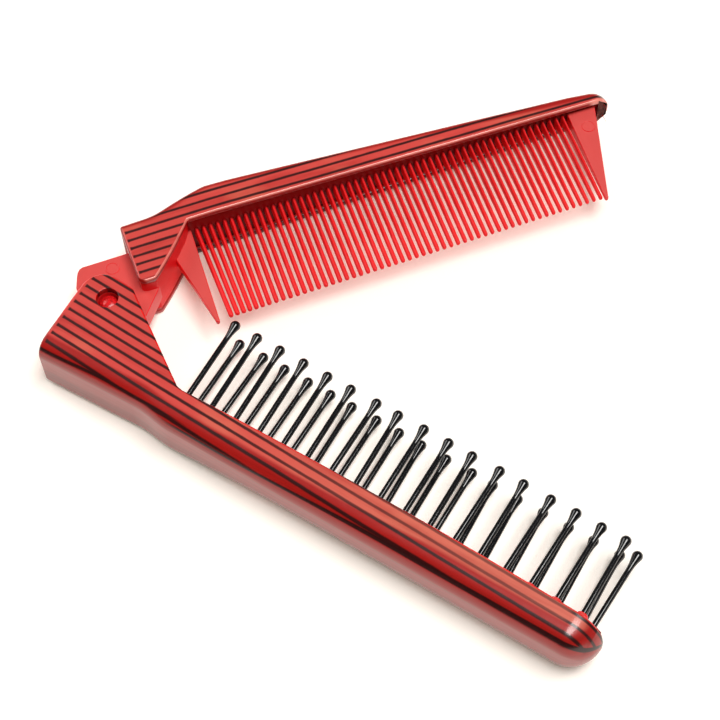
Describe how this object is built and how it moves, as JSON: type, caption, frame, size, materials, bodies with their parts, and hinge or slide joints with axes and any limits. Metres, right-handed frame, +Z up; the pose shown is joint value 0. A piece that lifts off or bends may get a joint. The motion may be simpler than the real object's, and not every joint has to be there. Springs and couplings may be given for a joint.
{
  "type": "folding comb",
  "caption": "Folding pocket comb: a fine-tooth comb arm and a ball-tipped bristle brush arm that share one hinge and fold together.",
  "frame": {"origin": "centre of the footprint of the partly open comb, on the surface that it lies on", "axes": "+X along the brush arm from the hinge to its nose, +Y the way the bristles point, +Z up out of the surface, along the hinge axis"},
  "size_m": [0.1302, 0.1178, 0.0134],
  "materials": {
    "striped_shell": "glossy red with fine dark stripes along the arm",
    "insert": "plain moulded red, semi-gloss",
    "bristle": "glossy black nylon",
    "pin": "glossy red, domed end"
  },
  "bodies": {
    "brush_arm": {"brush_shell": "striped_shell", "bristle_base": "insert", "hinge_pin": "pin", "bristle_01": "bristle", "bristle_02": "bristle", "bristle_03": "bristle", "bristle_04": "bristle", "bristle_05": "bristle", "bristle_06": "bristle", "bristle_07": "bristle", "bristle_08": "bristle", "bristle_09": "bristle", "bristle_10": "bristle", "bristle_11": "bristle", "bristle_12": "bristle", "bristle_13": "bristle", "bristle_14": "bristle", "bristle_15": "bristle", "bristle_16": "bristle", "bristle_17": "bristle", "bristle_18": "bristle", "bristle_19": "bristle", "bristle_20": "bristle", "bristle_21": "bristle", "bristle_22": "bristle", "bristle_23": "bristle", "bristle_24": "bristle", "bristle_25": "bristle", "bristle_26": "bristle", "bristle_27": "bristle", "bristle_28": "bristle", "bristle_29": "bristle", "bristle_30": "bristle", "bristle_31": "bristle", "bristle_32": "bristle", "bristle_33": "bristle", "bristle_34": "bristle", "bristle_35": "bristle"},
    "comb_arm": {"comb_shell": "striped_shell", "comb_core": "insert"}
  },
  "joints": [
    {"name": "fold", "type": "hinge", "parent": "brush_arm", "child": "comb_arm", "pos_m": [-0.054, -0.04173, 0.0067], "axis": [0, 0, 1], "range_deg": [-52, 127]}
  ]
}
